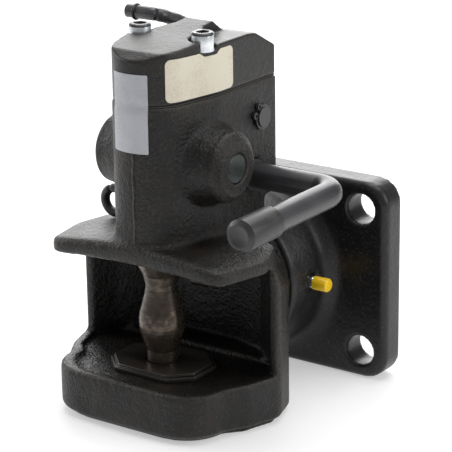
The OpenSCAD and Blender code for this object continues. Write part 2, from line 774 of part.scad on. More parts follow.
module side_profile(pts) {
    translate([-60, 0, 0]) rotate([90, 0, 90]) linear_extrude(height = 120)
        polygon([for (p = pts) [-p[0], p[1]]]);
}

module cover_solid(inset, wall, ridge) {
    intersection() {
        translate([0, 0, cover_z + gasket_t]) linear_extrude(height = 60) tower_plan(inset);
        union() {
            side_profile(cover_side(wall, 0));
            if (ridge > 0) intersection() {
                side_profile(cover_side(wall, ridge));
                linear_extrude(height = 260) ridge_plan();
            }
        }
    }
}

module cover() {
    inset = 0.6;
    color("#35363a") difference() {
        cover_solid(inset, 0, cover_ridge);
        difference() {
            translate([0, 0, -tiny]) cover_solid(inset + cover_wall, cover_wall, 0);
            for (side = [-1, 1]) translate([side * screw_x, -boss_y, cover_z - 1]) cylinder(r = 9, h = 60);
        }
        for (side = [-1, 1]) translate([side * screw_x, -boss_y, 0]) {
            translate([0, 0, head_z]) cylinder(r = screw_head_d / 2 + 1.6, h = 30);
            translate([0, 0, cover_z - 1]) cylinder(r = 3.7, h = 40);
        }
    }
}

module cover_gasket() {
    color("#3a332a") translate([0, 0, cover_z]) linear_extrude(height = gasket_t) difference() {
        tower_plan(1);
        difference() {
            tower_plan(tower_wall);
            for (side = [-1, 1]) translate([side * screw_x, -boss_y]) circle(r = 6);
        }
        for (side = [-1, 1]) translate([side * screw_x, -boss_y]) circle(r = 3.9);
    }
}

module cover_screws() {
    head_h = 12;
    color("#c6c9cb") for (side = [-1, 1]) translate([side * screw_x, -boss_y, 0]) difference() {
        union() {
            translate([0, 0, head_z]) cylinder(r = screw_head_d / 2, h = head_h - 0.8);
            translate([0, 0, head_z + head_h - 0.8 - tiny])
                cylinder(r1 = screw_head_d / 2, r2 = screw_head_d / 2 - 0.8, h = 0.8);
            translate([0, 0, cover_z - lug_t + 1]) cylinder(r = 3.5, h = head_z - cover_z + lug_t - 1 + tiny);
        }
        translate([0, 0, head_z + head_h - 5]) cylinder(r = 4.6, h = 6, $fn = 6);
    }
}

flange_bearing();
front_swivel_bush();
rear_swivel_bush();
grease_nipple();
nipple_cap();
coupling_body();
swivel_seal();
thrust_washer();
castle_nut();
split_pin();
pin_guide_bush();
lower_pin_bush();
wear_plate();
coupling_pin();
pin_carrier();
carrier_ring();
hand_lever();
lever_cap();
lift_arm();
arm_cross_pin();
torsion_spring();
lever_bush_right();
lever_bush_left();
lever_circlip();
bore_plug_right();
bore_plug_left();
latch_shaft();
latch_circlip();
lock_pawl();
pawl_cross_pin();
remote_lever();
cable_clip();
trigger_lever();
trigger_pin();
cable_hook();
cover();
cover_gasket();
cover_screws();
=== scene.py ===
"""Looks of an automatic drawbar coupling: castings, steel, rubber, labels, studio and camera."""

import logging
import math
from dataclasses import dataclass, field
from enum import Enum

import bpy
from mathutils import Matrix, Vector


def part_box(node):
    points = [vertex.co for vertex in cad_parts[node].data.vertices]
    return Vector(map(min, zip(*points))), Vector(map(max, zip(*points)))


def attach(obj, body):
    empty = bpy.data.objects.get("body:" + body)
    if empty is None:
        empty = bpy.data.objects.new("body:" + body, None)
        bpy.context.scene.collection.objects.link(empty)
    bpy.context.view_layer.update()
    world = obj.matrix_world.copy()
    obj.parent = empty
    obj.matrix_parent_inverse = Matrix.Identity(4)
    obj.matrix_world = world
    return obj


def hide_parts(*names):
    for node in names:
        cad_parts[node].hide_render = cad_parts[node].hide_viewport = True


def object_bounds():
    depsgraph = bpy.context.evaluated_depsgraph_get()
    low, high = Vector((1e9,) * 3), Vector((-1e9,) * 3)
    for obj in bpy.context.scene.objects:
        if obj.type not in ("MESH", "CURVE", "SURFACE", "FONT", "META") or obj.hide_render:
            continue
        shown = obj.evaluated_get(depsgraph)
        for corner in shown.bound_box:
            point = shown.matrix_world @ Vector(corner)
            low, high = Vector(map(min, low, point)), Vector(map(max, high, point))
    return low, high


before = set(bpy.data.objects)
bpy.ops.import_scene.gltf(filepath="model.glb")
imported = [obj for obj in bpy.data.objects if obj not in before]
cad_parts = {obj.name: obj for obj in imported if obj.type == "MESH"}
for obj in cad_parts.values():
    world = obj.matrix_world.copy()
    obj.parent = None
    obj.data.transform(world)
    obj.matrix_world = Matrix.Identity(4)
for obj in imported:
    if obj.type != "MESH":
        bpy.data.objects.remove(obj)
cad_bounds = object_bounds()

log = logging.getLogger("drawbar_coupling")
logging.basicConfig(level=logging.INFO, format="%(message)s")

MM = 0.001
Colour = tuple[float, float, float]
Triple = tuple[float, float, float]

MERGE_MM = 0.005
FLAT_DEG = 0.4
EDGE_DEG = 32.0
SMOOTH_DEG = 28.0
VOXEL_LABEL_WALL_MM = 2.4
VOXEL_HOOK_MM = 0.6
SOFT_PASSES = 34
LIGHT_TARGET = Vector((0.0, -0.08, 0.05))
# Near black for the painted shade inside the jaw's mouth.
MOUTH_SHADE_BLACK: Colour = (0.0028, 0.0023, 0.0018)
TURNED_STEEL: Colour = (0.30, 0.30, 0.31)
# Near black for the painted dark reflection on the screw heads.
PAINTED_DARK_REFLECTION: Colour = (0.03, 0.03, 0.033)
NEVER = 1.0


class Slot(Enum):
    """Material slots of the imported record."""

    CAST_BODY = "cast_body"
    CAST_FLANGE = "cast_flange"
    COVER = "cover_paint"
    LEVER = "lever_steel"
    RUBBER = "rubber"
    PIN = "pin_steel"
    PLATE = "plate_steel"
    BARE = "bare_steel"
    PLUG = "plug_steel"
    ZINC = "zinc"
    SPRING = "spring_steel"
    BRONZE = "bronze"
    YELLOW = "yellow_plastic"
    GASKET = "gasket"


class Body(Enum):
    """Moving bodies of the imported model."""

    FLANGE = "flange"
    BODY = "body"
    PIN = "pin"
    LEVER = "lever"
    LATCH = "latch"
    TRIGGER = "trigger"


# ---- shader writing ----


class Value:
    """A number socket that adds its own Math nodes when it is used in an expression."""

    def __init__(self, shader: "Shader", socket: bpy.types.NodeSocket) -> None:
        """Wraps one output socket."""
        self.shader = shader
        self.socket = socket

    def _math(self, operation: str, *others: "Value | float") -> "Value":
        """Adds a Math node.

        Args:
            operation: the node's operation.
            others: what follows this value in the node's sockets.

        Returns:
            The node's result.
        """
        inputs = dict(enumerate((self, *others)))
        return self.shader.node("ShaderNodeMath", {"operation": operation}, inputs)

    def __add__(self, other: "Value | float") -> "Value":
        """Sum."""
        return self._math("ADD", other)

    __radd__ = __add__

    def __mul__(self, other: "Value | float") -> "Value":
        """Product."""
        return self._math("MULTIPLY", other)

    __rmul__ = __mul__

    def __sub__(self, other: "Value | float") -> "Value":
        """Difference."""
        return self._math("SUBTRACT", other)

    def __rsub__(self, other: float) -> "Value":
        """Difference with this value taken away from a number."""
        return self.shader.node("ShaderNodeMath", {"operation": "SUBTRACT"}, {0: other, 1: self})

    def power(self, exponent: float) -> "Value":
        """This value raised to a power."""
        return self._math("POWER", exponent)

    def step(self, low: float, high: float) -> "Value":
        """A smooth step.

        Args:
            low: where the result is still 0.
            high: where the result reaches 1.

        Returns:
            A value between 0 and 1.
        """
        settings = {"interpolation_type": "SMOOTHSTEP", "clamp": True}
        inputs = {0: self, 1: low, 2: high, 3: 0.0, 4: 1.0}
        return self.shader.node("ShaderNodeMapRange", settings, inputs)


class Shader:
    """One material with a Principled shader and the nodes that feed it."""

    def __init__(self, name: str) -> None:
        """Makes an empty material of that name."""
        self.material = bpy.data.materials.new(name)
        self.material.use_nodes = True
        self.tree = self.material.node_tree
        self.principled = self.tree.nodes["Principled BSDF"]
        coords = self.tree.nodes.new("ShaderNodeTexCoord")
        self.place = coords.outputs["Object"]
        apart = self.tree.nodes.new("ShaderNodeSeparateXYZ")
        self.tree.links.new(self.place, apart.inputs[0])
        self.x, self.y, self.z = (Value(self, s) for s in apart.outputs)

    def node(self, kind: str, settings: dict, inputs: dict, output: int | str = 0) -> Value:
        """Adds a node.

        Args:
            kind: the node's type.
            settings: its properties, set before its sockets.
            inputs: a value or a link for each socket, by number or name.
            output: which output is given back.

        Returns:
            The chosen output.
        """
        made = self.tree.nodes.new(kind)
        for key, value in settings.items():
            setattr(made, key, value)
        for key, value in inputs.items():
            if isinstance(value, Value):
                self.tree.links.new(value.socket, made.inputs[key])
            elif isinstance(value, bpy.types.NodeSocket):
                self.tree.links.new(value, made.inputs[key])
            else:
                made.inputs[key].default_value = value
        return Value(self, made.outputs[output])

    def noise(self, scale: float, detail: float = 3.0, stretch: Triple = (1.0, 1.0, 1.0)) -> Value:
        """Noise on object coordinates.

        Args:
            scale: features in a metre.
            detail: octaves.
            stretch: how much finer the pattern is along each axis.

        Returns:
            A value about 0.5.
        """
        place = self.place
        if stretch != (1.0, 1.0, 1.0):
            place = self.node("ShaderNodeMapping", {}, {"Vector": self.place, "Scale": stretch})
        inputs = {"Vector": place, "Scale": scale, "Detail": detail}
        return self.node("ShaderNodeTexNoise", {}, inputs)

    def edges(self, low: float, high: float) -> Value:
        """How far the surface stands out, between 0 in the flat and 1 on sharp edges."""
        made = self.tree.nodes.new("ShaderNodeNewGeometry")
        return Value(self, made.outputs["Pointiness"]).step(low, high)

    def blend(self, share: Value | float, first: "Value | Colour", second: "Value | Colour") -> Value:
        """Mixes two colours.

        Args:
            share: how much of the second shows.
            first: a colour or a link.
            second: a colour or a link.

        Returns:
            The mixed colour.
        """
        inputs: dict = {0: share}
        for number, colour in ((6, first), (7, second)):
            inputs[number] = colour if isinstance(colour, Value) else (*colour, 1.0)
        return self.node("ShaderNodeMix", {"data_type": "RGBA"}, inputs, 2)

    def relief(self, height: Value, depth_mm: float) -> Value:
        """Bumps the surface.

        Args:
            height: the height pattern, from 0 to 1.
            depth_mm: how deep it is.

        Returns:
            The normal.
        """
        inputs = {"Strength": 1.0, "Distance": depth_mm * MM, "Height": height}
        return self.node("ShaderNodeBump", {}, inputs)

    def feed(self, **links: Value | float | tuple) -> bpy.types.Material:
        """Feeds the Principled shader's sockets.

        Args:
            links: a value or a link for each socket, its name with _ for a space.

        Returns:
            The finished material.
        """
        for key, value in links.items():
            socket = self.principled.inputs[key.replace("_", " ")]
            if isinstance(value, Value):
                self.tree.links.new(value.socket, socket)
            else:
                socket.default_value = (*value, 1.0) if isinstance(value, tuple) else value
        return self.material


# ---- finishes ----


@dataclass(frozen=True)
class CastPaint:
    """Black paint over a sand casting with random stains, convex edges lightened partly as rubbed-off
    paint and partly as painted highlight, and, if asked, painted shade in the jaw's mouth.
    """

    name: str
    deep: Colour
    tint: Colour
    worn_and_highlit: Colour
    roughness: float
    grain_mm: float
    grain_depth_mm: float
    wear_and_highlight: float
    machined_behind_y: float = NEVER
    shaded_greasy_mouth: bool = False

    def build(self) -> bpy.types.Material:
        """Makes the material."""
        s = Shader(self.name)
        grains = 1.0 / (self.grain_mm * MM)
        fine = s.noise(grains, 4.0)
        lumps = s.noise(grains * 0.32, 3.0)
        broad = s.noise(38.0, 3.0)
        stains = (broad * 0.7 + s.noise(160.0, 4.0) * 0.3).step(0.46, 0.66)
        # Convex edges are lightened, partly as rubbed-off paint and partly as painted highlight.
        edge = s.edges(0.505, 0.575)
        colour = s.blend(stains * 0.75, self.deep, self.tint)
        colour = s.blend(edge * (fine * 0.7 + 0.3) * self.wear_and_highlight, colour, self.worn_and_highlit)
        specks = s.noise(620.0, 3.0).step(0.56, 0.70) * 0.28
        colour = s.blend(specks, colour, self.worn_and_highlit)
        rough = fine * 0.10 + broad * 0.16 + (self.roughness - 0.13)
        height = fine * 0.5 + lumps * 0.5
        normal = s.relief(height, self.grain_depth_mm)
        metal: Value | float = 0.0
        # Painted shade: the mouth recess is darkened towards near black; lower roughness there gives it a
        # greasy gloss.
        if self.shaded_greasy_mouth:
            above_floor = s.z.step(-0.039, -0.030)
            below_roof = 1.0 - s.z.step(0.030, 0.037)
            between_sides = 1.0 - s.x.power(2.0).step(0.071**2, 0.075**2)
            mouth_shade = above_floor * below_roof * between_sides * s.y.step(-0.178, -0.160)
            colour = s.blend(mouth_shade * 0.85, colour, MOUTH_SHADE_BLACK)
            rough = rough - mouth_shade * 0.10
        if self.machined_behind_y < NEVER:
            turned = s.y.step(self.machined_behind_y, self.machined_behind_y + 0.5 * MM)
            colour = s.blend(turned, colour, TURNED_STEEL)
            metal = turned
        return s.feed(Base_Color=colour, Roughness=rough, Normal=normal, Metallic=metal,
                      Specular_IOR_Level=0.36)


@dataclass(frozen=True)
class SmoothPaint:
    """Even paint with a faint orange peel, dust, a few rubbed spots and convex edges lightened partly as
    rubbed-off paint and partly as painted highlight.
    """

    name: str
    colour: Colour
    worn_and_highlit: Colour
    roughness: float
    peel_mm: float = 1.4
    peel_depth_mm: float = 0.03
    wear_and_highlight: float = 0.5

    def build(self) -> bpy.types.Material:
        """Makes the material."""
        s = Shader(self.name)
        peel = s.noise(1.0 / (self.peel_mm * MM), 2.0)
        broad = s.noise(45.0, 4.0)
        rubbed = s.noise(320.0, 5.0).step(0.60, 0.74) * broad.step(0.45, 0.62)
        dusty = tuple(c * 1.5 + 0.004 for c in self.colour)
        colour = s.blend(broad.step(0.4, 0.7) * 0.6, self.colour, dusty)
        # The rubbed spots are real rubbing; the lightened convex edges are partly rubbed-off paint, partly
        # painted highlight.
        colour = s.blend((rubbed * 0.5 + s.edges(0.51, 0.58) * 0.8) * self.wear_and_highlight, colour, self.worn_and_highlit)
        rough = broad * 0.16 + rubbed * 0.15 + (self.roughness - 0.08)
        return s.feed(Base_Color=colour, Roughness=rough, Normal=s.relief(peel, self.peel_depth_mm))


@dataclass(frozen=True)
class WorkedSteel:
    """Turned or ground steel with fine marks, stains and a greasy film, and, if asked, a painted dark
    reflection above a given height.
    """

    name: str
    bright: Colour
    stain: Colour
    roughness: float
    marks: Triple = (1.0, 1.0, 1.0)
    mark_scale: float = 700.0
    stain_share: float = 0.5
    metallic: float = 0.9
    painted_reflection_z: float = NEVER

    def build(self) -> bpy.types.Material:
        """Makes the material."""
        s = Shader(self.name)
        marks = s.noise(self.mark_scale, 4.0, self.marks)
        patches = (s.noise(70.0, 5.0) * 0.6 + s.noise(260.0, 4.0) * 0.4).step(0.44, 0.60)
        colour = s.blend(patches * self.stain_share, self.bright, self.stain)
        colour = s.blend(marks.step(0.5, 0.75) * 0.3, colour, self.stain)
        metal: Value | float = 1.0 - patches * self.stain_share * 0.6
        metal = metal * self.metallic
        rough = marks * 0.16 + patches * 0.2 + (self.roughness - 0.12)
        # Painted dark reflection: above this height the steel is blended to near black and made less
        # metallic.
        if self.painted_reflection_z < NEVER:
            dark_reflection = s.z.step(self.painted_reflection_z, self.painted_reflection_z + 0.2 * MM)
            colour = s.blend(dark_reflection, colour, PAINTED_DARK_REFLECTION)
            metal = metal * (1.0 - dark_reflection * 0.8)
        return s.feed(Base_Color=colour, Metallic=metal, Roughness=rough, Normal=s.relief(marks, 0.025))


@dataclass(frozen=True)
class Moulded:
    """Rubber or plastic with a soft surface and a little grime."""

    name: str
    colour: Colour
    grime: Colour
    roughness: float
    grime_share: float = 0.4

    def build(self) -> bpy.types.Material:
        """Makes the material."""
        s = Shader(self.name)
        grime = (s.noise(120.0, 4.0) * 0.6 + s.noise(700.0, 3.0) * 0.4).step(0.48, 0.66)
        fine = s.noise(1600.0, 2.0)
        colour = s.blend(grime * self.grime_share, self.colour, self.grime)
        rough = grime * 0.15 + fine * 0.08 + (self.roughness - 0.06)
        return s.feed(Base_Color=colour, Roughness=rough, Normal=s.relief(fine, 0.03))


@dataclass(frozen=True)
class BlankLabel:
    """A bare sticker with faint fibres and dirty spots."""

    name: str
    colour: Colour
    dirt: Colour
    roughness: float
    metallic: float = 0.0

    def build(self) -> bpy.types.Material:
        """Makes the material."""
        s = Shader(self.name)
        dirt = (s.noise(60.0, 5.0) * 0.5 + s.noise(900.0, 4.0) * 0.5).step(0.46, 0.70)
        colour = s.blend(dirt * 0.55, self.colour, self.dirt)
        rough = dirt * 0.2 + self.roughness
        return s.feed(Base_Color=colour, Roughness=rough, Metallic=self.metallic,
                      Normal=s.relief(s.noise(900.0, 3.0), 0.02))


FINISHES = {
    Slot.CAST_BODY: CastPaint(
        "cast_body", (0.0055, 0.0048, 0.0044), (0.017, 0.0125, 0.0085), (0.085, 0.072, 0.060),
        roughness=0.46, grain_mm=1.8, grain_depth_mm=1.7, wear_and_highlight=0.9,
        machined_behind_y=0.0, shaded_greasy_mouth=True),
    Slot.CAST_FLANGE: CastPaint(
        "cast_flange", (0.0062, 0.0058, 0.0062), (0.012, 0.0105, 0.0095), (0.07, 0.066, 0.062),
        roughness=0.36, grain_mm=2.4, grain_depth_mm=0.45, wear_and_highlight=0.6),
    Slot.COVER: CastPaint(
        "cover_paint", (0.0095, 0.0085, 0.0080), (0.018, 0.0155, 0.013), (0.085, 0.078, 0.070),
        roughness=0.40, grain_mm=1.4, grain_depth_mm=0.55, wear_and_highlight=0.6),
    Slot.LEVER: SmoothPaint(
        "lever_paint", (0.014, 0.0145, 0.0165), (0.10, 0.10, 0.105), 0.36, wear_and_highlight=0.4),
    Slot.RUBBER: Moulded("rubber_cap", (0.022, 0.021, 0.021), (0.05, 0.046, 0.042), 0.40),
    Slot.PIN: WorkedSteel(
        "pin_steel", (0.095, 0.077, 0.060), (0.022, 0.014, 0.009), 0.27,
        marks=(1.0, 1.0, 3.0), mark_scale=420.0, stain_share=0.9, metallic=0.8),
    Slot.PLATE: SmoothPaint(
        "plate_steel", (0.007, 0.0062, 0.0055), (0.06, 0.05, 0.04), 0.30,
        peel_depth_mm=0.12, wear_and_highlight=0.7),
    Slot.BARE: WorkedSteel(
        "bare_steel", (0.42, 0.42, 0.43), (0.16, 0.15, 0.14), 0.34, stain_share=0.4),
    Slot.PLUG: WorkedSteel(
        "plug_steel", (0.040, 0.050, 0.048), (0.018, 0.021, 0.020), 0.36, metallic=0.6),
    Slot.ZINC: WorkedSteel(
        "zinc", (0.74, 0.77, 0.80), (0.42, 0.44, 0.46), 0.26,
        stain_share=0.3, metallic=1.0, painted_reflection_z=0.1806),
    Slot.SPRING: WorkedSteel(
        "spring_steel", (0.055, 0.055, 0.06), (0.025, 0.024, 0.022), 0.36, metallic=0.7),
    Slot.BRONZE: WorkedSteel(
        "bronze", (0.50, 0.34, 0.15), (0.22, 0.14, 0.07), 0.34, stain_share=0.4),
    Slot.YELLOW: Moulded("yellow_plastic", (0.86, 0.55, 0.012), (0.42, 0.25, 0.02), 0.36, 0.3),
    Slot.GASKET: Moulded("gasket", (0.035, 0.033, 0.030), (0.07, 0.06, 0.05), 0.8),
}


# ---- modelling tools ----


def deselect() -> None:
    """Leaves object mode with nothing selected."""
    if bpy.context.object and bpy.context.object.mode != "OBJECT":
        bpy.ops.object.mode_set(mode="OBJECT")
    bpy.ops.object.select_all(action="DESELECT")


def pick(piece: bpy.types.Object) -> None:
    """Makes a piece the only selected and active object."""
    deselect()
    piece.select_set(True)
    bpy.context.view_layer.objects.active = piece


def modify(piece: bpy.types.Object, kind: str, **settings: object) -> None:
    """Adds a modifier and applies it.

    Args:
        piece: the object.
        kind: the modifier's type.
        settings: its properties.
    """
    pick(piece)
    modifier = piece.modifiers.new(kind.title(), kind)
    for key, value in settings.items():
        setattr(modifier, key, value)
    bpy.ops.object.modifier_apply(modifier=modifier.name)


def settle(piece: bpy.types.Object) -> None:
    """Puts a piece's place into its mesh and leaves the object at the origin."""
    pick(piece)
    bpy.ops.object.transform_apply(location=True, rotation=True, scale=True)


def copy_of_node(node: str, name: str) -> bpy.types.Object:
    """Copies a CAD node's mesh into a new merged object.

    Args:
        node: the CAD node.
        name: the copy's name.

    Returns:
        The copy, at the origin.
    """
    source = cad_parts[node]
    piece = bpy.data.objects.new(name, source.data.copy())
    bpy.context.scene.collection.objects.link(piece)
    piece.data.materials.clear()
    pick(piece)
    bpy.ops.object.mode_set(mode="EDIT")
    bpy.ops.mesh.select_all(action="SELECT")
    bpy.ops.mesh.remove_doubles(threshold=MERGE_MM * MM)
    bpy.ops.object.mode_set(mode="OBJECT")
    return piece


@dataclass(frozen=True)
class SoftZone:
    """An ellipsoid in which a casting's corners are rounded more than elsewhere."""

    centre: Vector
    steepness: float
    reach: Vector

    def weight(self, point: Vector) -> float:
        """How much a point is in the zone, from 0 to 1."""
        away = point - self.centre
        far = Vector((away.x / self.reach.x, away.y / self.reach.y, away.z / self.reach.z)).length
        return max(0.0, min(1.0, (1.0 - far) * self.steepness))


def casting(node: str, name: str, voxel_mm: float, rounds: int, zones: list[SoftZone],
            limit: int) -> bpy.types.Object:
    """Turns a CAD node into a rounded casting.

    Args:
        node: the CAD node.
        name: the new piece's name.
        voxel_mm: the remesh's cell.
        rounds: smoothing passes all over.
        zones: places that are rounded more.
        limit: the most triangles.

    Returns:
        The casting, dressed in nothing yet.
    """
    piece = copy_of_node(node, name)
    modify(piece, "REMESH", mode="VOXEL", voxel_size=voxel_mm * MM, use_smooth_shade=True)
    modify(piece, "SMOOTH", factor=0.5, iterations=rounds)
    if zones:
        group = piece.vertex_groups.new(name="soft")
        for vertex in piece.data.vertices:
            weight = max(zone.weight(vertex.co) for zone in zones)
            if weight > 0.01:
                group.add([vertex.index], weight, "REPLACE")
        modify(piece, "SMOOTH", factor=0.5, iterations=SOFT_PASSES,
               vertex_group="soft")
        piece.vertex_groups.clear()
    faces = len(piece.data.polygons) * 2
    if faces > limit:
        modify(piece, "DECIMATE", ratio=limit / faces)
    pick(piece)
    bpy.ops.object.shade_smooth()
    return piece


class Assembly:
    """A group of pieces on one body."""

    body: Body = Body.BODY

    def __init__(self, finishes: dict[Slot, bpy.types.Material]) -> None:
        """Keeps the finished materials."""
        self.finishes = finishes

    def dress_node(self, node: str, slot: Slot) -> None:
        """Gives a CAD node a finish.

        Args:
            node: the node.
            slot: its finish.
        """
        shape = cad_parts[node]
        shape.data.materials.clear()
        shape.data.materials.append(self.finishes[slot])
        log.info("node %s: %s", node, slot.value)

    def place(self, piece: bpy.types.Object, slot: Slot, *replaced: str,
              look: bpy.types.Material | None = None) -> None:
        """Finishes a new piece.

        Args:
            piece: the piece.
            slot: the finish that it gets, unless it has a look of its own.
            replaced: the CAD nodes that it stands for.
            look: a material of its own, if not the slot's.
        """
        piece.data.materials.clear()
        piece.data.materials.append(look or self.finishes[slot])
        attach(piece, self.body.value)
        if replaced:
            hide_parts(*replaced)
        ends = [f(v.co.y for v in piece.data.vertices) / MM for f in (min, max)]
        log.info("piece %s: %d faces, y %.0f to %.0f mm", piece.name, len(piece.data.polygons), *ends)

    def soften(self, node: str, slot: Slot, width_mm: float) -> None:
        """Replaces a CAD node with a copy whose edges are broken.

        Args:
            node: the node.
            slot: its finish.
            width_mm: the width of the broken edge.
        """
        piece = copy_of_node(node, node + "_finished")
        bpy.ops.object.mode_set(mode="EDIT")
        bpy.ops.mesh.select_all(action="SELECT")
        bpy.ops.mesh.dissolve_limited(angle_limit=math.radians(FLAT_DEG))
        bpy.ops.object.mode_set(mode="OBJECT")
        modify(piece, "BEVEL", width=width_mm * MM, segments=2, limit_method="ANGLE",
               angle_limit=math.radians(EDGE_DEG), use_clamp_overlap=True)
        pick(piece)
        bpy.ops.object.shade_smooth_by_angle(angle=math.radians(SMOOTH_DEG))
        self.place(piece, slot, node)


@dataclass(frozen=True)
class Sticker:
    """A thin label that follows a curved wall."""

    name: str
    centre_mm: Triple
    facing_deg: float
    width_mm: float
    height_mm: float
    corner_mm: float
    thick_mm: float = 0.22
    standoff_mm: float = 0.42
    cell_mm: float = 1.5

    def build(self, wall: bpy.types.Object) -> bpy.types.Object:
        """Lays the label on a wall.

        Args:
            wall: the surface that it lies on.

        Returns:
            The label, at the origin.
        """
        deselect()
        turn = math.radians(self.facing_deg)
        bpy.ops.mesh.primitive_plane_add(size=1.0, location=Vector(self.centre_mm) * MM)
        piece = bpy.context.object
        piece.name = self.name
        piece.scale = (self.width_mm * MM, self.height_mm * MM, 1.0)
        pick(piece)
        bpy.ops.object.transform_apply(location=False, rotation=False, scale=True)
        bpy.ops.object.mode_set(mode="EDIT")
        bpy.ops.mesh.select_all(action="SELECT")
        bpy.ops.mesh.bevel(offset=self.corner_mm * MM, segments=6, affect="VERTICES")
        for axis, span in ((0, self.width_mm), (1, self.height_mm)):
            count = int(span / self.cell_mm)
            normal = [0.0, 0.0, 0.0]
            normal[axis] = 1.0
            for n in range(1, count):
                at = Vector(self.centre_mm) * MM
                at[axis] += (n / count - 0.5) * span * MM
                bpy.ops.mesh.select_all(action="SELECT")
                bpy.ops.mesh.bisect(plane_co=at, plane_no=normal)
        bpy.ops.object.mode_set(mode="OBJECT")
        upright = Matrix.Rotation(math.radians(90.0), 4, "X")
        piece.matrix_world = (
            Matrix.Translation(Vector(self.centre_mm) * MM)
            @ Matrix.Rotation(turn, 4, "Z") @ upright
        )
        modify(piece, "SHRINKWRAP", wrap_method="PROJECT", target=wall, use_project_z=True,
               use_negative_direction=True, use_positive_direction=True, offset=self.standoff_mm * MM)
        modify(piece, "SOLIDIFY", thickness=self.thick_mm * MM, offset=1.0)
        settle(piece)
        bpy.ops.object.shade_smooth_by_angle(angle=math.radians(40.0))
        return piece


# ---- sub-assemblies ----


@dataclass
class FlangeBearing(Assembly):
    """The bolted flange with the bearing in which the jaw swivels."""

    finishes: dict[Slot, bpy.types.Material]
    voxel_mm: float = 1.3
    rounds: int = 6
    most_faces: int = 190000
    body = Body.FLANGE

    def build(self) -> None:
        """Makes the casting and dresses the small parts."""
        low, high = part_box("flange_bearing")
        foot = SoftZone(Vector((0.0, -0.020, 0.0)), 3.0, Vector((0.082, 0.010, 0.082)))
        skin = casting("flange_bearing", "flange_casting", self.voxel_mm, self.rounds, [foot],
                       self.most_faces)
        self.place(skin, Slot.CAST_FLANGE, "flange_bearing")
        for node in ("front_swivel_bush", "rear_swivel_bush"):
            self.dress_node(node, Slot.BRONZE)
        self.soften("grease_nipple", Slot.ZINC, 0.2)
        self.soften("nipple_cap", Slot.YELLOW, 0.5)
        log.info("flange %.0f mm wide", (high.x - low.x) / MM)


